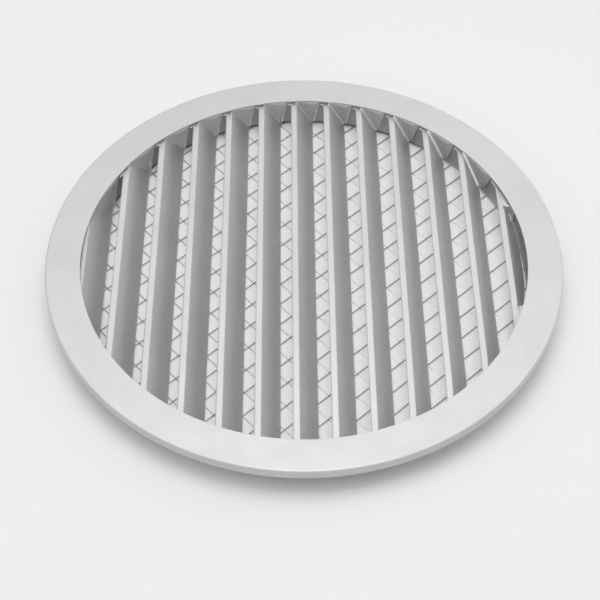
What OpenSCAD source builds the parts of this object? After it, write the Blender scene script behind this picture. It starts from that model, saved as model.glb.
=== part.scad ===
// Round external ventilation grille: thirteen fixed folded blades inside a round collar,
// a flat face ring over the collar's front, and a welded wire mesh across its back.
// X runs across the blades, Y runs along them and Z comes out of the face.
// The origin is the centre of the mesh's back, on which the grille stands.

/* [Face ring] */
// How far the face ring reaches out past the collar
ring_reach = 21.5; // [16:0.5:40]
// How far the face ring covers the edge of the collar's bore
ring_cover = 1.55; // [0.5:0.05:4]
// Sheet thickness of the face ring
ring_t = 1; // [0.8:0.05:1.1]
// Depth of the rim that is turned back round the outside
rim_depth = 7.2; // [5:0.2:12]
// Outside radius of the bend between the ring and its rim
ring_bend_r = 1.2; // [1.1:0.1:4]

/* [Collar] */
// Outside diameter of the collar, which goes into the duct
collar_od = 312; // [250:1:400]
// Sheet thickness of the collar
collar_t = 0.8; // [0.6:0.1:1.2]
// Depth from the face to the back of the mesh
depth = 25.4; // [25:0.1:40]
// Width of the collar's front flange, under the face ring
flange_w = 12; // [6:0.5:14]
// Outside radius of the bend between the collar's wall and its flange
collar_bend_r = 1.6; // [1.3:0.1:3]

/* [Blades] */
// Sheet thickness of a blade
blade_t = 0.8; // [0.6:0.1:1]
// Width of the flat lip along a blade's front
lip_w = 4.2; // [3:0.1:5]
// Depth of the lips behind the face
lip_depth = 3.2; // [2.8:0.1:6]
// How far a blade's web goes across, from the lip's bend to its rear edge
web_run = 12.2; // [10:0.1:12.8]
// Outside radius of the bend between lip and web
fold_r = 1.2; // [1.05:0.05:1.6]
// How far an end tab reaches past the web's rear edge at its foot
tab_foot = 1.1; // [1:0.1:3]
// How far an ear reaches past the lip's free edge
ear_reach = 2.2; // [1:0.1:2.6]
// Length of an ear along the blade
ear_len = 1.5; // [1:0.1:3]

/* [Last blade] */
// Length of the flat pads that widen the last blade's lip at its ends
pad_len = 14; // [6:0.5:20]
// How far the pads reach from the bend towards the collar
pad_reach = 4.4; // [3:0.1:6]
// Width of the last blade's end tabs, which stand beside the pads
last_tab_w = 2.4; // [1:0.1:4]
// Width of the notch between a pad and the web
notch = 0.8; // [0.4:0.1:2]

/* [Wire mesh] */
// Distance from one wire of the mesh to the next
mesh_pitch = 13.2; // [12:0.1:20]
// Diameter of the mesh wire
wire_d = 0.9; // [0.8:0.05:1]
// How far crossing wires are pressed into each other by the welds
weld_set = 0.2; // [0.1:0.05:0.3]
// Direction of the front wires, turned from the X axis
mesh_turn = 42.2; // [0:0.1:90]
// Angle between the front wires and the back wires
mesh_cross = 89.2; // [85:0.1:95]
// Distance from the centre to the nearest front wire
front_shift = 5.3; // [0:0.1:13]
// Distance from the centre to the nearest back wire
back_shift = 3.8; // [0:0.1:13]

/* [Fits] */
// Clearance between the blades' end tabs and the collar
tab_fit = 0.1; // [0.05:0.05:0.3]
// Clearance between the tops of the end tabs and the face ring
top_fit = 0.4; // [0.1:0.1:1]
// Clearance across the blades between an end tab and the next blade's lip
lip_gap = 2.2; // [0.5:0.1:4]
// Clearance between an end tab and the next blade's ears
ear_gap = 0.4; // [0.2:0.1:1]
// Clearance between the rear edges of the webs and the mesh
web_gap = 1; // [0.6:0.1:4]
// Clearance between the mesh and the collar's back edge
mesh_fit = 0.1; // [0.05:0.05:0.2]

/* [Hidden] */
$fn = 96;
BLADES = 13;

// Radii of the collar's wall, of the tabs that lie against it, and of the face ring
wall_r = collar_od / 2;
bore_r = wall_r - collar_t;
tab_r = bore_r - tab_fit;
tab_in_r = tab_r - blade_t;
ring_r = wall_r + ring_reach;
mouth_r = bore_r - ring_cover;

// Heights above the back of the mesh
ring_under = depth - ring_t;
lip_z = depth - lip_depth;
tab_top = ring_under - top_fit;
mesh_thick = 2 * wire_d - weld_set;
collar_back = mesh_thick + mesh_fit;

// The blades fill the bore evenly, from the first one's lip to the last one's rear edge,
// and their webs run back almost to the mesh
first_bend = lip_w - bore_r;
blade_pitch = (2 * bore_r - lip_w - web_run) / (BLADES - 1);
web_drop = lip_z - mesh_thick - web_gap;
fold_turn = atan2(web_drop, web_run);
fold_flat = fold_r * tan(fold_turn / 2);

// Points of an arc, from angle a to angle b, in n steps
function arc(c, r, a, b, n = 6) =
    [for (k = [0 : n]) let (t = a + (b - a) * k / n) c + r * [cos(t), sin(t)]];

// Half of a chord of a circle of radius r, at distance d from the centre
function half_chord(r, d) = sqrt(r * r - d * d);

// Section of the face ring, as radius and height: a flat face and a rim turned back
module ring_section() {
    c = [ring_r - ring_bend_r, depth - ring_bend_r];
    polygon(concat(
        [[ring_r, depth - rim_depth]],
        arc(c, ring_bend_r, 0, 90),
        [[mouth_r, depth], [mouth_r, ring_under]],
        arc(c, ring_bend_r - ring_t, 90, 0),
        [[ring_r - ring_t, depth - rim_depth]]));
}

// Ring that covers the edge of the wall opening
module face_ring() {
    color("gainsboro") rotate_extrude($fn = 180) ring_section();
}

// Section of the collar: a straight wall, and a flange turned out at the front
module collar_section() {
    in_r = collar_bend_r - collar_t;
    c = [wall_r + in_r, ring_under - collar_bend_r];
    polygon(concat(
        [[wall_r, collar_back]],
        arc(c, in_r, 180, 90),
        [[wall_r + flange_w, ring_under - collar_t], [wall_r + flange_w, ring_under]],
        arc(c, collar_bend_r, 90, 180),
        [[bore_r, collar_back]]));
}

// Round collar that goes into the duct and carries the blades and the mesh
module collar() {
    color("silver") rotate_extrude($fn = 180) collar_section();
}

// Outline of a blade's sheet across its length, bend at the origin
module blade_section() {
    c = [-fold_flat, -fold_r];
    n = [sin(fold_turn), cos(fold_turn)];
    rear = [web_run, -web_drop];
    polygon(concat(
        [[-lip_w, 0]],
        arc(c, fold_r, 90, 90 - fold_turn),
        [rear, rear - blade_t * n],
        arc(c, fold_r - blade_t, 90 - fold_turn, 90),
        [[-lip_w, -blade_t]]));
}

// A flat shape drawn across the blades, run along them from y0 to y1
module run_along(y0, y1) {
    translate([0, y1, 0]) rotate([90, 0, 0]) linear_extrude(y1 - y0) children();
}

// Lip and web of one blade, cut to the round of the collar; the web ends at web_half too
module folded_strip(bend_x, web_half) {
    intersection() {
        translate([bend_x, 0, lip_z]) {
            run_along(-web_half, web_half) blade_section();
            run_along(-wall_r, wall_r)
                translate([-lip_w, -blade_t]) square([lip_w - fold_flat, blade_t]);
        }
        cylinder(r = tab_r, h = depth, $fn = 180);
    }
}

// The thin round shell in which the end tabs lie, cut by an outline across the blades
module cut_tab(bend_x) {
    intersection() {
        difference() {
            cylinder(r = tab_r, h = tab_top, $fn = 180);
            translate([0, 0, -1]) cylinder(r = tab_in_r, h = depth, $fn = 180);
        }
        translate([bend_x, 0, lip_z]) run_along(0, wall_r) children();
    }
}

// End tab: the end of the web is folded forward and lies on the collar's wall
module end_tab(bend_x) {
    top = tab_top - lip_z;
    next_lip = blade_pitch - lip_w;
    foot = [web_run + tab_foot, -web_drop];
    head = [next_lip - lip_gap, -blade_t - ear_gap];
    top_x = next_lip - ear_reach - ear_gap;
    cut_tab(bend_x)
        polygon([[-fold_flat, -blade_t], [web_run - blade_t, -web_drop], foot,
                 head, [top_x, head[1]], [top_x, top], [-fold_flat, top]]);
}

// Narrow end tab of the last blade, whose web runs out along the collar
module last_tab(bend_x) {
    near = [pad_reach, -pad_reach * web_drop / web_run];
    far = near + last_tab_w * [1, -web_drop / web_run];
    top = tab_top - lip_z;
    cut_tab(bend_x)
        polygon([near - [0, blade_t], far - [0, blade_t], [far[0], top], [near[0], top]]);
}

// Flat disc of the lips' height, cut to a rectangle in plan
module lip_plate(x0, x1, y0, y1) {
    intersection() {
        translate([0, 0, lip_z - blade_t]) cylinder(r = tab_r, h = blade_t, $fn = 180);
        translate([x0, y0, 0]) cube([x1 - x0, y1 - y0, depth]);
    }
}

// Small flat ears that widen the lip's end where it meets the wall
module ear(bend_x) {
    difference() {
        lip_plate(bend_x - lip_w - ear_reach, bend_x + ear_reach / 2, 0, wall_r);
        cylinder(r = tab_r - ear_len, h = depth, $fn = 180);
    }
}

// One blade, folded from one sheet, with the same tab and ears at both its ends
module blade(index) {
    bend_x = first_bend + blade_pitch * index;
    is_last = index == BLADES - 1;
    pad_end = half_chord(tab_r, bend_x) - pad_len;
    color("whitesmoke") {
        folded_strip(bend_x, is_last ? pad_end - notch : wall_r);
        for (end = [0, 1]) mirror([0, end, 0]) {
            ear(bend_x);
            if (is_last) {
                last_tab(bend_x);
                lip_plate(bend_x - lip_w, bend_x + pad_reach, pad_end, wall_r);
            } else {
                end_tab(bend_x);
            }
        }
    }
}

// Parallel wires a pitch apart, cut to the round of the collar
module wires(shift, height) {
    mesh_r = wall_r - mesh_fit;
    reach = half_chord(mesh_r, mesh_pitch);
    for (k = [ceil((-reach - shift) / mesh_pitch) : floor((reach - shift) / mesh_pitch)]) {
        y = shift + k * mesh_pitch;
        half = half_chord(mesh_r, y);
        translate([-half, y, height]) rotate([0, 90, 0])
            cylinder(d = wire_d, h = 2 * half, $fn = 8);
    }
}

// Welded mesh across the collar's back, in two layers of wire
module wire_mesh() {
    color("slategray") rotate([0, 0, mesh_turn]) {
        wires(front_shift, mesh_thick - wire_d / 2);
        rotate([0, 0, mesh_cross]) wires(back_shift, wire_d / 2);
    }
}

face_ring();
collar();
wire_mesh();
blade(0);  // blade_01
blade(1);  // blade_02
blade(2);  // blade_03
blade(3);  // blade_04
blade(4);  // blade_05
blade(5);  // blade_06
blade(6);  // blade_07
blade(7);  // blade_08
blade(8);  // blade_09
blade(9);  // blade_10
blade(10);  // blade_11
blade(11);  // blade_12
blade(12);  // blade_13
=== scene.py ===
"""Looks of the round exterior ventilation grille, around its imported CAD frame. Metres throughout."""

import math
import random

import bpy
from mathutils import Matrix, Vector


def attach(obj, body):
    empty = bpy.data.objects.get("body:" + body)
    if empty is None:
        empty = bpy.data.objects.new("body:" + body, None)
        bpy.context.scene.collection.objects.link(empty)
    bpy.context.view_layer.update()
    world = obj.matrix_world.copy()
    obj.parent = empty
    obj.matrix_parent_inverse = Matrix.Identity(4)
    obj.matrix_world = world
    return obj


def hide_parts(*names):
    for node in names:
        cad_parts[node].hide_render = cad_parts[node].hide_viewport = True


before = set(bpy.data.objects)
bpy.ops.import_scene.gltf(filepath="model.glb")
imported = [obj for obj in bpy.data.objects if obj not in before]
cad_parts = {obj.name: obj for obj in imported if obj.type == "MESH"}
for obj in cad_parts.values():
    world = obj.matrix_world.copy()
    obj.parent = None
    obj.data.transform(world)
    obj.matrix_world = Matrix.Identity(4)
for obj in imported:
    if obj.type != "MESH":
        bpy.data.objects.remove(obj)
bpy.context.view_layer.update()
MM = 0.001
scene = bpy.context.scene

# Camera, from the photograph: where it looks, from where, and how long its lens is
AIM = Vector((-3.05, -42.29, 25.61)) * MM
ELEVATION = math.radians(50.636)
TURN = math.radians(-0.429)
ROLL = math.radians(-0.091)
DISTANCE = 925.7 * MM
LENS_MM = 82.92

# Sizes in millimetres, as in the CAD: radii, heights above the mesh's back, and widths
RING_R = 177.45
MOUTH_R = 153.65
WALL_R = 156.0
BORE_R = 155.2
LIP_R = 155.05
TAB_R = 154.3
FACE_Z = 25.4
RING_UNDER = 24.4
RIM_Z = 18.2
FLANGE_R = 168.0
COLLAR_BACK = 1.7
# Distance from a bend to the loop beside it, which keeps the flats level in their shading
NEXT_LOOP = 0.2
SHEET = 0.8
BLADES = 13
FIRST_BEND = -151.0
PITCH = 24.5
LIP_Z = 22.2
LIP_W = 4.2
FOLD_R = 0.9
WEB_RUN = 12.2
WEB_DROP = 19.6
# End tabs: radius of their fold, their top, and the free edge from foot to top
FILLET = 1.3
FILLET_REACH = 2.4
TAB_TOP = 24.0
TAB_FOOT_X = 13.3
TAB_TOP_X = 17.8
FOOT_ROUND = 0.8
EDGE_LIFT = 1.2
WELDED = 6
WELD_X = 15.0
WELD_Z = 14.6
WELD_R = 0.9
WELD_RISE = 0.35
EAR_REACH = 2.2
EAR_R = 153.3
# How far from the ends the blade's straight rows turn towards the fold, and the fold's points
FOLD_LEAD = 3.0
FOLD_STEPS = 6
# The first blade's lip ends at the collar, the last one has pads and short tabs
LEFT_END = -153.9
PAD_END_Y = 46.06
PAD_REACH = 4.4
NOTCH = 0.8
TRIM_R = 153.5
LAST_TAB_X = (4.4, 6.5)
CURL_R = 0.6
TRIM_STEPS = 26
# Wire mesh
MESH_R = 155.9
MESH_TURN = 42.2
MESH_CROSS = 89.2
MESH_PITCH = 13.2
FRONT_SHIFT = 5.3
BACK_SHIFT = 3.8
WIRE_R = 0.36
BACK_WIRE_Z = 0.42
FRONT_WIRE_Z = 1.08
NUGGET_R = 0.42


def make_camera():
    """The camera at the photograph's viewing angle."""
    data = bpy.data.cameras.new("camera")
    data.lens = LENS_MM
    data.sensor_width = 36.0
    data.clip_start = 0.01
    data.clip_end = 50.0
    camera = bpy.data.objects.new("camera", data)
    back = Vector((math.sin(TURN) * math.cos(ELEVATION),
                   -math.cos(TURN) * math.cos(ELEVATION),
                   math.sin(ELEVATION)))
    right = Vector((math.cos(TURN), math.sin(TURN), 0.0))
    up = back.cross(right)
    right_rolled = right * math.cos(ROLL) + up * math.sin(ROLL)
    up_rolled = up * math.cos(ROLL) - right * math.sin(ROLL)
    turn = Matrix((right_rolled, up_rolled, back)).transposed().to_4x4()
    camera.matrix_world = Matrix.Translation(AIM + back * DISTANCE) @ turn
    scene.collection.objects.link(camera)
    scene.camera = camera


def new_piece(name, points, faces, smooth_angle=35.0):
    """A mesh object from points in millimetres."""
    mesh = bpy.data.meshes.new(name)
    mesh.from_pydata([(x * MM, y * MM, z * MM) for x, y, z in points], [], faces)
    mesh.validate()
    mesh.shade_smooth()
    mesh.set_sharp_from_angle(angle=math.radians(smooth_angle))
    piece = bpy.data.objects.new(name, mesh)
    scene.collection.objects.link(piece)
    return piece


def arc(cx, cz, radius, start, end, steps):
    """Points of an arc in a section, angles in degrees."""
    made = []
    for k in range(steps + 1):
        angle = math.radians(start + (end - start) * k / steps)
        made.append((cx + radius * math.cos(angle), cz + radius * math.sin(angle)))
    return made


def revolve(name, section, steps=360):
    """A closed section, as (radius, height) anticlockwise, turned round the Z axis."""
    count = len(section)
    points = []
    faces = []
    for k in range(steps):
        angle = 2 * math.pi * k / steps
        for radius, height in section:
            points.append((radius * math.cos(angle), radius * math.sin(angle), height))
        for j in range(count):
            a = k * count + j
            b = k * count + (j + 1) % count
            c = (k + 1) % steps * count + (j + 1) % count
            d = (k + 1) % steps * count + j
            faces.append((a, d, c, b))
    return new_piece(name, points, faces)


def face_ring():
    bend = 1.2
    edge = 0.12
    cx, cz = RING_R - bend, FACE_Z - bend
    inner = bend - 1.0
    section = [(RING_R - 1 + edge, RIM_Z), (RING_R - edge, RIM_Z), (RING_R, RIM_Z + edge)]
    section += [(RING_R, RIM_Z + edge + NEXT_LOOP), (RING_R, cz - NEXT_LOOP)]
    section += arc(cx, cz, bend, 0, 90, 8)
    section += [(cx - NEXT_LOOP, FACE_Z), (MOUTH_R + edge + NEXT_LOOP, FACE_Z)]
    section += arc(MOUTH_R + edge, FACE_Z - edge, edge, 90, 180, 3)
    section += [(MOUTH_R, RING_UNDER + 0.02), (MOUTH_R + 0.02, RING_UNDER)]
    section += arc(cx, cz, inner, 90, 0, 3)
    section += [(RING_R - 1, RIM_Z + edge)]
    return revolve("ring_sheet", section)


def collar():
    bend = 1.6
    inner = bend - SHEET
    cx, cz = WALL_R + inner, RING_UNDER - bend
    section = [(BORE_R + 0.05, COLLAR_BACK), (WALL_R - 0.05, COLLAR_BACK), (WALL_R, COLLAR_BACK + 0.05)]
    section += [(WALL_R, COLLAR_BACK + NEXT_LOOP), (WALL_R, cz - NEXT_LOOP)]
    section += arc(cx, cz, inner, 180, 90, 5)
    section += [(FLANGE_R, RING_UNDER - SHEET), (FLANGE_R, RING_UNDER)]
    section += arc(cx, cz, bend, 90, 180, 7)
    section += [(BORE_R, cz - NEXT_LOOP), (BORE_R, COLLAR_BACK + NEXT_LOOP), (BORE_R, COLLAR_BACK + 0.05)]
    return revolve("collar_sheet", section)


# Shape of a blade's section: height and slope of its front face at x from the bend
SLOPE = WEB_DROP / WEB_RUN
FOLD_TURN = math.atan(SLOPE)
FOLD_FLAT = FOLD_R * math.tan(FOLD_TURN / 2)
FOLD_END = FOLD_R * math.sin(FOLD_TURN) - FOLD_FLAT


def section_z(x):
    """Height of a blade's front face at x from its bend."""
    if x <= -FOLD_FLAT:
        return LIP_Z
    if x < FOLD_END:
        dx = x + FOLD_FLAT
        return LIP_Z - FOLD_R + math.sqrt(FOLD_R * FOLD_R - dx * dx)
    return LIP_Z - SLOPE * x


def section_slope(x):
    """How fast the front face goes back at x from the bend."""
    if x <= -FOLD_FLAT:
        return 0.0
    if x < FOLD_END:
        return math.tan(math.asin((x + FOLD_FLAT) / FOLD_R))
    return SLOPE


def spread(start, end, steps):
    return [start + (end - start) * k / steps for k in range(steps + 1)]


def end_column(bend, rel, end):
    """Points of the fold from the flat sheet up the wall, where the sheet meets it at rel."""
    corner_x = bend + rel
    y = math.sqrt(TAB_R * TAB_R - corner_x * corner_x)
    across = corner_x / TAB_R
    slope = section_slope(rel)
    turn = math.pi / 2 + math.atan(slope * across)
    reach = min(FILLET * math.tan(turn / 2), FILLET_REACH, TAB_TOP - 0.4 - section_z(rel))
    # The fold runs square to the wall, but not where the lip ends beside it
    lean = across * min(max((rel + FOLD_FLAT) / (FOLD_END + FOLD_FLAT), 0.0), 1.0)
    inward = reach / math.sqrt(1 + (slope * lean) ** 2)
    start = rel - inward * lean
    first = Vector((bend + start, y - inward * math.sqrt(1 - lean * lean), section_z(start)))
    corner = Vector((corner_x, y, section_z(rel)))
    last = Vector((corner_x, y, section_z(rel) + reach))
    made = []
    for k in range(FOLD_STEPS + 1):
        t = k / FOLD_STEPS
        p = first * (1 - t) ** 2 + corner * 2 * t * (1 - t) + last * t * t
        made.append((p.x, end * p.y, p.z))
    return made


class Sheet:
    """Points and faces of one folded sheet's front surface, shared where they meet."""

    def __init__(self):
        self.points = []
        self.faces = []
        self.known = {}
        self.painted_highlight = {}

    def point(self, p):
        key = (round(p[0], 4), round(p[1], 4), round(p[2], 4))
        if key not in self.known:
            self.known[key] = len(self.points)
            self.points.append(p)
        return self.known[key]

    def grid(self, rows, flip):
        """Faces between rows of points; rows may share points."""
        for first, second in zip(rows, rows[1:]):
            for j in range(len(first) - 1):
                quad = [self.point(first[j]), self.point(first[j + 1]),
                        self.point(second[j + 1]), self.point(second[j])]
                face = []
                for index in quad:
                    if index not in face:
                        face.append(index)
                if len(face) > 2:
                    self.faces.append(tuple(reversed(face)) if flip else tuple(face))

    def paint_highlight(self, path, amount):
        """Marks points for a painted highlight, from 0 to 1: folds, lip ends, edges and welds."""
        for p in path:
            self.painted_highlight[self.point(p)] = amount

    def piece(self, name):
        made = new_piece(name, self.points, self.faces, 50.0)
        painted_highlight = made.data.attributes.new("painted_highlight", "FLOAT", "POINT")
        for index, amount in self.painted_highlight.items():
            painted_highlight.data[index].value = amount
        thick = made.modifiers.new("thickness", "SOLIDIFY")
        thick.thickness = SHEET * MM
        thick.offset = -1
        thick.use_even_offset = True
        return made


def run_out(x, y, z, steps=10):
    """Points from the middle of the blade out to y."""
    return [(x, y * k / steps, z) for k in range(steps + 1)]


def lip_end(x):
    return math.sqrt(LIP_R ** 2 - x * x)


def ear_start(x):
    """Where an ear starts, short of the lip's end."""
    return math.sqrt(max(EAR_R ** 2 - x * x, 0.6 * (LIP_R ** 2 - x * x)))


def out_to_wall(x, start, end):
    """Points on the lip's level from start out to the wall."""
    return [(x, end * y, LIP_Z) for y in spread(start, lip_end(x), 3)]


def paint_end_highlight(sheet, rows):
    """Painted highlight on a lip's end, against the shade under the ring, more towards its edge."""
    for row in rows:
        for place, amount in ((-1, 1.0), (-2, 0.8), (-3, 0.3)):
            sheet.paint_highlight([row[place]], amount)


def ear(sheet, bend, end):
    """The small flat ear beside the lip's free edge."""
    edge = bend - LIP_W
    rows = [out_to_wall(x, ear_start(x), end) for x in spread(edge - EAR_REACH, edge, 3)]
    sheet.grid(rows, end == 1)
    paint_end_highlight(sheet, rows)


def lip(sheet, bend, end, first_row):
    """The flat lip, out to the wall, beside the web's first row of points."""
    left = max(-LIP_W, LEFT_END - bend)
    rows = []
    for rel in spread(left, -FOLD_FLAT, 4)[:-1]:
        x = bend + rel
        near = ear_start(x) - FOLD_LEAD
        rows.append(run_out(x, end * near, LIP_Z) + out_to_wall(x, ear_start(x), end))
    shared = first_row[:12]
    rows.append(shared + out_to_wall(bend - FOLD_FLAT, abs(shared[-1][1]), end)[1:])
    sheet.grid(rows, end == 1)
    paint_end_highlight(sheet, rows)
    if left == -LIP_W:
        ear(sheet, bend, end)


def foot_height(knee, rel):
    """Height of the tab's free edge at rel: level beside the web, rounded, then slanting up."""
    past = rel - TAB_FOOT_X
    if past < -FOOT_ROUND:
        return knee
    rounded = (past + FOOT_ROUND) ** 2 / (4 * FOOT_ROUND) if past < FOOT_ROUND else past
    return knee + rounded * (TAB_TOP - knee) / (TAB_TOP_X - TAB_FOOT_X)


def edge_lift(knee, rel, h):
    """How far the tab stands off the wall: more towards its free edge and towards its foot."""
    up = (h - knee) / (TAB_TOP - knee)
    edge = TAB_FOOT_X + up * (TAB_TOP_X - TAB_FOOT_X)
    return EDGE_LIFT * (1 - up) * min(1.0, (rel - WEB_RUN) / (edge - WEB_RUN))


def tab_tail(sheet, bend, end, wall, edge_highlight):
    """The tab past the web's rear edge, from the last points on the wall to its free edge."""
    knee = wall[0][2]
    rows = [wall]
    edge = []
    for rel in spread(WEB_RUN, TAB_FOOT_X + FOOT_ROUND, 8)[1:] + spread(TAB_FOOT_X + FOOT_ROUND, TAB_TOP_X, 10)[1:]:
        x = bend + rel
        if x > TAB_R - 1:
            break
        low = min(foot_height(knee, rel), TAB_TOP - 0.4)
        row = []
        for h in spread(low, TAB_TOP, len(wall) - 1):
            radius = TAB_R - edge_lift(knee, rel, h)
            row.append((x, end * math.sqrt(radius * radius - x * x), h))
        rows.append(row)
        edge.append(row[0])
    sheet.grid(rows, end == 1)
    sheet.paint_highlight(edge, edge_highlight)


def weld_mark(sheet, bend, end):
    """A low round weld nugget on the tab."""
    knee = LIP_Z - WEB_DROP
    rows = []
    for k in range(13):
        angle = math.radians(30 * (k % 12))
        row = []
        for t in (0.0, 0.35, 0.65, 0.88, 1.0):
            rel, pz = WELD_X + WELD_R * t * math.cos(angle), WELD_Z + WELD_R * t * math.sin(angle)
            px = bend + rel
            radius = TAB_R - edge_lift(knee, rel, pz) - WELD_RISE * (1 - t * t) + 0.02
            row.append((px, end * math.sqrt(radius * radius - px * px), pz))
        rows.append(row)
    sheet.grid(rows, end == -1)
    # Painted highlight on the nugget's middle
    for row in rows:
        sheet.paint_highlight(row[:3], 0.9)


def blade(index):
    """One blade, folded from one sheet: lip, web, and an end tab at each end."""
    bend = FIRST_BEND + PITCH * index
    # Painted highlight on the folds, stronger towards the last blade
    fold_highlight = min(1.0, 0.1 + 0.09 * index)
    sheet = Sheet()
    columns = spread(-FOLD_FLAT, FOLD_END, 6) + spread(FOLD_END, WEB_RUN, 14)[1:]
    for end in (1, -1):
        rows = []
        for rel in columns:
            fold = end_column(bend, rel, end)
            x, y, z = fold[-1]
            wall = [(x, y, h) for h in spread(z, TAB_TOP, 5)]
            rows.append(run_out(bend + rel, fold[0][1] - end * FOLD_LEAD, section_z(rel)) + fold + wall[1:])
            sheet.paint_highlight(fold[1:6], fold_highlight)
        sheet.grid(rows, end == 1)
        lip(sheet, bend, end, rows[0])
        # Painted highlight on the tabs' free edges, on the first eight blades only
        tab_tail(sheet, bend, end, wall, 0.8 if index < 8 else 0.0)
        if index == WELDED:
            weld_mark(sheet, bend, end)
    return sheet.piece("blade_sheet_%02d" % (index + 1))


def last_blade():
    """The last blade: pads at the ends of its lip, short tabs, and a web that runs out along the collar."""
    bend = FIRST_BEND + PITCH * (BLADES - 1)
    sheet = Sheet()
    web_y = PAD_END_Y - NOTCH
    tab_rels = spread(*LAST_TAB_X, 5)
    for end in (1, -1):
        folds = [end_column(bend, rel, end) for rel in tab_rels]
        first_x = folds[0][0][0]
        rows = []
        for rel in spread(-FOLD_FLAT, FOLD_END, 6) + spread(FOLD_END, first_x - bend, 5)[1:-1]:
            rows.append(run_out(bend + rel, end * web_y, section_z(rel)))
        for fold in folds:
            rows.append(run_out(fold[0][0], fold[0][1], fold[0][2])[:-1] + [fold[0]])
        # Past the tab, the web is cut along the collar
        after = abs(folds[-1][0][1]) - NOTCH
        widest = math.asin(after / TRIM_R)
        cut = []
        for k in range(TRIM_STEPS):
            angle = widest * (1 - k / TRIM_STEPS)
            x = TRIM_R * math.cos(angle)
            rows.append(run_out(x, end * TRIM_R * math.sin(angle), section_z(x - bend)))
            cut.append(rows[-1][-1])
        sheet.grid(rows, end == 1)
        # Painted highlight along the cut edge
        sheet.paint_highlight(cut, 1.0)
        # The short tab beside the pad
        tab = []
        for fold in folds:
            x, y, z = fold[-1]
            tab.append(fold + [(x, y, h) for h in spread(z, TAB_TOP, 5)[1:]])
            # A weaker painted highlight on the short tab's fold
            sheet.paint_highlight(fold[2:5], 0.4)
        sheet.grid(tab, end == 1)
        # The lip and its pads
        rows = []
        for rel in spread(-LIP_W, -FOLD_FLAT, 4):
            x = bend + rel
            share = (rel + LIP_W) / (LIP_W - FOLD_FLAT)
            middle = (1 - share) * ear_start(x) + share * (PAD_END_Y + lip_end(x)) / 2
            rows.append(run_out(x, end * web_y, LIP_Z) + [(x, end * PAD_END_Y, LIP_Z)]
                        + out_to_wall(x, middle, end))
        sheet.grid(rows, end == 1)
        ear(sheet, bend, end)
        pad = [rows[-1][11:]]
        for rel in spread(-FOLD_FLAT, PAD_REACH, 6)[1:]:
            x = bend + rel
            pad.append([(x, end * PAD_END_Y, LIP_Z)] + out_to_wall(x, (PAD_END_Y + lip_end(x)) / 2, end))
        sheet.grid(pad, end == 1)
        # The pad's end is torn off the web and curls down a little
        curl = []
        for row in pad[2:]:
            x = row[0][0]
            curl.append([(x, end * (PAD_END_Y - CURL_R * math.sin(a)), LIP_Z - CURL_R * (1 - math.cos(a)))
                         for a in spread(math.pi * 0.45, 0, 4)])
        sheet.grid(curl, end == 1)
        # Painted highlight on the curl
        sheet.paint_highlight([p for row in curl for p in row[1:3]], 1.0)
    return sheet.piece("blade_sheet_%02d" % BLADES)


def tube(points, faces, path, radii, sides=8):
    """Adds a round tube along a nearly straight path."""
    first = len(points)
    direction = (Vector(path[-1]) - Vector(path[0])).normalized()
    side = direction.cross(Vector((0, 0, 1))).normalized()
    up = side.cross(direction)
    for place, radius in zip(path, radii):
        for k in range(sides):
            angle = 2 * math.pi * (k + 0.5) / sides
            p = Vector(place) + side * (radius * math.cos(angle)) + up * (radius * math.sin(angle))
            points.append(tuple(p))
    for j in range(len(path) - 1):
        for k in range(sides):
            a = first + j * sides + k
            b = first + j * sides + (k + 1) % sides
            faces.append((a, b, b + sides, a + sides))
    faces.append(tuple(first + k for k in reversed(range(sides))))
    faces.append(tuple(first + (len(path) - 1) * sides + k for k in range(sides)))


def wire_lines(shift, seed):
    """Places of one layer's parallel wires: distance from the centre, half length and sway."""
    draw = random.Random(seed)
    reach = math.sqrt(MESH_R ** 2 - MESH_PITCH ** 2)
    first = math.ceil((-reach - shift) / MESH_PITCH)
    last = math.floor((reach - shift) / MESH_PITCH)
    made = []
    for k in range(first, last + 1):
        y = shift + k * MESH_PITCH
        made.append((y, math.sqrt(MESH_R ** 2 - y * y) - draw.uniform(0.1, 0.5), draw.uniform(0, 6.28)))
    return made


def wires(points, faces, turn, lines, height):
    """Adds one layer of parallel wires, a little wavy between their ends."""
    along = Vector((math.cos(turn), math.sin(turn), 0))
    across = Vector((-math.sin(turn), math.cos(turn), 0))
    for y, half, phase in lines:
        path = []
        for s in spread(-half, half, max(8, int(half / 3))):
            sway = 0.08 * math.sin(s / 23.0 + phase) * (1 - (s / half) ** 6)
            path.append(tuple(along * s + across * (y + sway) + Vector((0, 0, height))))
        tube(points, faces, path, [WIRE_R] * len(path))


def nugget(points, faces, x, y, z):
    """Adds a small weld between two crossing wires: a ball of eight meridians and three rings."""
    first = len(points)
    for ring in (-0.7, 0.0, 0.7):
        for k in range(8):
            angle = math.pi / 4 * k
            flat = NUGGET_R * math.sqrt(1 - ring * ring)
            points.append((x + flat * math.cos(angle), y + flat * math.sin(angle), z + 0.8 * NUGGET_R * ring))
    for ring in (0, 8):
        for k in range(8):
            a, b = first + ring + k, first + ring + (k + 1) % 8
            faces.append((a, b, b + 8, a + 8))
    faces.append(tuple(first + k for k in reversed(range(8))))
    faces.append(tuple(first + 16 + k for k in range(8)))


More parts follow.
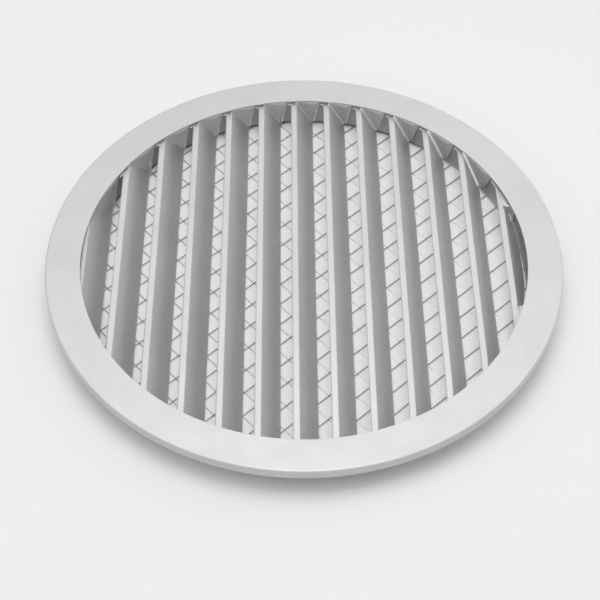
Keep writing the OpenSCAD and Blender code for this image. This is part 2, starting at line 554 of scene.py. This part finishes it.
def wire_mesh():
    """The welded mesh: two layers of wire, and a weld at each crossing."""
    points = []
    faces = []
    turn = math.radians(MESH_TURN)
    cross = math.radians(MESH_CROSS)
    front = wire_lines(FRONT_SHIFT, 3)
    back = wire_lines(BACK_SHIFT, 4)
    wires(points, faces, turn, front, FRONT_WIRE_Z)
    back_from = len(points)
    wires(points, faces, turn + cross, back, BACK_WIRE_Z)
    back_to = len(points)
    for y, half, _ in front:
        for w, _, _ in back:
            # Where the back wire at distance w crosses the front wire at distance y
            s = (y * math.cos(cross) - w) / math.sin(cross)
            if abs(s) < half - 1:
                nugget(points, faces, s * math.cos(turn) - y * math.sin(turn),
                       s * math.sin(turn) + y * math.cos(turn), (BACK_WIRE_Z + FRONT_WIRE_Z) / 2)
    made = new_piece("mesh_wires", points, faces, 50.0)
    # Painted highlight: the back wires are lighter towards the last blade
    painted_highlight = made.data.attributes.new("painted_highlight", "FLOAT", "POINT")
    for index in range(back_from, back_to):
        painted_highlight.data[index].value = min(0.8, max(0.0, (points[index][0] + 130) / 250))
    return made


class Graph:
    """Short names for the nodes of one material."""

    def __init__(self, name):
        self.material = bpy.data.materials.new(name)
        self.material.use_nodes = True
        self.tree = self.material.node_tree
        self.shader = self.tree.nodes["Principled BSDF"]
        self.output = self.tree.nodes["Material Output"]

    def node(self, kind, **values):
        made = self.tree.nodes.new(kind)
        for key, value in values.items():
            made.inputs[key.replace("_", " ")].default_value = value
        return made

    def link(self, start, end):
        self.tree.links.new(start, end)

    def noise(self, scale, stretch=(1, 1, 1), detail=3.0):
        """Noise in the object's own metres, as a value round a half."""
        place = self.node("ShaderNodeTexCoord")
        mapping = self.node("ShaderNodeMapping", Scale=stretch)
        noise = self.node("ShaderNodeTexNoise", Scale=scale, Detail=detail)
        self.link(place.outputs["Object"], mapping.inputs["Vector"])
        self.link(mapping.outputs["Vector"], noise.inputs["Vector"])
        return noise.outputs["Fac"]

    def ranged(self, value, low, high):
        """A value round a half, spread between low and high."""
        made = self.node("ShaderNodeMapRange", From_Min=0.3, From_Max=0.7, To_Min=low, To_Max=high)
        self.link(value, made.inputs["Value"])
        return made.outputs["Result"]

    def mixed(self, share, value, other):
        """Value, or the plain number other by share."""
        made = self.node("ShaderNodeMix", B=other)
        self.link(share, made.inputs["Factor"])
        self.link(value, made.inputs["A"])
        return made.outputs["Result"]


def metal(name, low, high, metallic, rough, stretch, painted_highlight=False, foot_shade=False):
    """Satin sheet metal: slow patches of tone, a fine grain, painted highlights where marked, and painted shade at
    the foot if asked.
    """
    graph = Graph(name)
    tone = graph.node("ShaderNodeCombineColor")
    value = graph.ranged(graph.noise(28.0, detail=4.0), low, high)
    smooth = graph.ranged(graph.noise(60.0, stretch), rough - 0.04, rough + 0.04)
    # Painted highlight: marked places get a lighter tone and a lower roughness
    if painted_highlight:
        mark = graph.node("ShaderNodeAttribute")
        mark.attribute_name = "painted_highlight"
        value = graph.mixed(mark.outputs["Fac"], value, HIGHLIGHT_TONE)
        smooth = graph.mixed(mark.outputs["Fac"], smooth, HIGHLIGHT_ROUGH)
    # Painted shade: the collar darker towards its foot, fading out across its width
    if foot_shade:
        place = graph.node("ShaderNodeTexCoord")
        axes = graph.node("ShaderNodeSeparateXYZ")
        graph.link(place.outputs["Object"], axes.inputs[0])
        foot_darkening = graph.node("ShaderNodeMapRange", From_Min=FOOT_SHADE_FROM * MM, From_Max=FOOT_SHADE_TO * MM,
                           To_Min=FOOT_SHADE_TONE, To_Max=1.0)
        graph.link(axes.outputs["Z"], foot_darkening.inputs["Value"])
        shade_fade_across = graph.node("ShaderNodeMapRange", From_Min=SHADE_FADE_FROM * MM, From_Max=SHADE_FADE_TO * MM)
        graph.link(axes.outputs["X"], shade_fade_across.inputs["Value"])
        kept = graph.node("ShaderNodeMath")
        kept.operation = "MAXIMUM"
        graph.link(foot_darkening.outputs["Result"], kept.inputs[0])
        graph.link(shade_fade_across.outputs["Result"], kept.inputs[1])
        darker = graph.node("ShaderNodeMath")
        darker.operation = "MULTIPLY"
        graph.link(value, darker.inputs[0])
        graph.link(kept.outputs["Value"], darker.inputs[1])
        value = darker.outputs["Value"]
    for channel in ("Red", "Green", "Blue"):
        graph.link(value, tone.inputs[channel])
    graph.link(tone.outputs["Color"], graph.shader.inputs["Base Color"])
    graph.link(smooth, graph.shader.inputs["Roughness"])
    graph.shader.inputs["Metallic"].default_value = metallic
    bump = graph.node("ShaderNodeBump", Strength=0.12, Distance=0.0002)
    graph.link(graph.noise(900.0, stretch, 2.0), bump.inputs["Height"])
    graph.link(bump.outputs["Normal"], graph.shader.inputs["Normal"])
    return graph.material


def seen_ray(tree):
    """Whether the camera sees it, straight, in a reflection or through something."""
    path = tree.nodes.new("ShaderNodeLightPath")
    seen = path.outputs["Is Camera Ray"]
    for kind in ("Is Glossy Ray", "Is Transmission Ray"):
        either = tree.nodes.new("ShaderNodeMath")
        either.operation = "MAXIMUM"
        tree.links.new(seen, either.inputs[0])
        tree.links.new(path.outputs[kind], either.inputs[1])
        seen = either.outputs["Value"]
    return seen


def table_top():
    """The pale table: lit near the grille with a painted glow that varies by distance, and as white as the backdrop
    further out.
    """
    graph = Graph("table")
    graph.shader.inputs["Base Color"].default_value = (0.92, 0.92, 0.92, 1)
    graph.shader.inputs["Roughness"].default_value = 0.7
    graph.shader.inputs["Specular IOR Level"].default_value = 0.2
    place = graph.node("ShaderNodeTexCoord")
    far = graph.node("ShaderNodeVectorMath")
    far.operation = "LENGTH"
    graph.link(place.outputs["Object"], far.inputs[0])
    blend = graph.node("ShaderNodeValToRGB")
    graph.link(far.outputs["Value"], blend.inputs["Fac"])
    ramp = blend.color_ramp
    for place, share in TABLE_PAINTED_GLOW:
        stop = ramp.elements.new(place)
        stop.color = (share, share, share, 1)
    ramp.elements.remove(ramp.elements[0])
    both = graph.node("ShaderNodeMath")
    both.operation = "MULTIPLY"
    graph.link(blend.outputs["Color"], both.inputs[0])
    graph.link(seen_ray(graph.tree), both.inputs[1])
    white = graph.node("ShaderNodeEmission", Color=BACKDROP, Strength=1.0)
    mix = graph.node("ShaderNodeMixShader")
    graph.link(both.outputs["Value"], mix.inputs["Fac"])
    graph.link(graph.shader.outputs["BSDF"], mix.inputs[1])
    graph.link(white.outputs["Emission"], mix.inputs[2])
    graph.link(mix.outputs["Shader"], graph.output.inputs["Surface"])
    return graph.material


def studio():
    """The pale backdrop, a little weaker where it only lights the scene."""
    world = bpy.data.worlds.new("studio")
    world.use_nodes = True
    scene.world = world
    tree = world.node_tree
    backdrop = tree.nodes["Background"]
    backdrop.inputs["Color"].default_value = BACKDROP
    strength = tree.nodes.new("ShaderNodeMapRange")
    strength.inputs["To Min"].default_value = WORLD_LIGHT
    strength.inputs["To Max"].default_value = 1.0
    tree.links.new(seen_ray(tree), strength.inputs["Value"])
    tree.links.new(strength.outputs["Result"], backdrop.inputs["Strength"])


def area_light(name, off, around, power):
    """A soft box round the grille, off degrees from straight above and around from the X axis."""
    off, around = math.radians(off), math.radians(around)
    place = Vector((math.sin(off) * math.cos(around), math.sin(off) * math.sin(around), math.cos(off)))
    data = bpy.data.lights.new(name, "AREA")
    data.shape = "SQUARE"
    data.size = BOX_SIZE
    data.energy = power
    light = bpy.data.objects.new(name, data)
    light.location = place * BOX_DISTANCE
    light.rotation_euler = place.to_track_quat("Z", "Y").to_euler()
    scene.collection.objects.link(light)


# Tone and roughness where a painted highlight is marked
HIGHLIGHT_TONE = 1.0
HIGHLIGHT_ROUGH = 0.4
# Painted shade: the collar's foot is darkened between these heights, for the shadow gap where it stands on the mesh
FOOT_SHADE_FROM = 2.2
FOOT_SHADE_TO = 4.2
FOOT_SHADE_TONE = 0.2
# and the painted shade fades out over this part of its width
SHADE_FADE_FROM = 70
SHADE_FADE_TO = 100
BACKDROP = (0.84, 0.84, 0.84, 1)
# Share of the backdrop's own white in the table, by distance from the centre in metres: painted light under the
# grille, none at the collar's foot so its shade stays dark, more outwards to lighten the grille's shadow, up to the
# plain white backdrop far out
TABLE_PAINTED_GLOW = ((0.001, 0.3), (0.14, 0.3), (0.152, 0.0), (0.165, 0.0), (0.181, 0.3), (0.2, 0.45),
              (0.45, 0.7), (0.9, 1.0))
WORLD_LIGHT = 0.6
BOX_SIZE = 0.75
BOX_DISTANCE = 1.4
make_camera()
scene.view_settings.view_transform = "Standard"
studio()
area_light("soft_above", 0, 0, 7.7)
area_light("soft_front_left", 32, 225, 1.3)
area_light("soft_low_right_back", 62, 22, 1.7)
area_light("soft_low_back", 62, 67, 0.8)
area_light("soft_low_left", 62, 202, 0.6)

floor_mesh = bpy.data.meshes.new("floor")
floor_mesh.from_pydata([(-10, -10, 0), (10, -10, 0), (10, 10, 0), (-10, 10, 0)], [], [(0, 1, 2, 3)])
floor = bpy.data.objects.new("floor", floor_mesh)
scene.collection.objects.link(floor)
floor.data.materials.append(table_top())

looks = {
    "face_sheet": metal("face_metal", 0.585, 0.615, 0.9, 0.6, (1, 1, 1)),
    # The collar's tone is darker than the face's: painted shade for its walls inside the grille
    "collar_sheet": metal("collar_shade_metal", 0.44, 0.5, 0.9, 0.6, (1, 1, 0.1), foot_shade=True),
    # Blades and wires carry painted highlights marked on their points
    "blade_sheet": metal("blade_metal", 0.58, 0.62, 0.9, 0.6, (1, 0.08, 1), True),
    "zinc_wire": metal("zinc_metal", 0.35, 0.45, 1.0, 0.3, (1, 1, 1), True),
}


def dress(piece, node, slot):
    """Puts a piece in the place of a solid, with the finish of its slot."""
    piece.data.materials.append(looks[slot])
    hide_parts(node)
    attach(piece, "root")


dress(face_ring(), "face_ring", "face_sheet")
dress(collar(), "collar", "collar_sheet")
dress(wire_mesh(), "wire_mesh", "zinc_wire")
for number in range(BLADES - 1):
    dress(blade(number), "blade_%02d" % (number + 1), "blade_sheet")
dress(last_blade(), "blade_%02d" % BLADES, "blade_sheet")
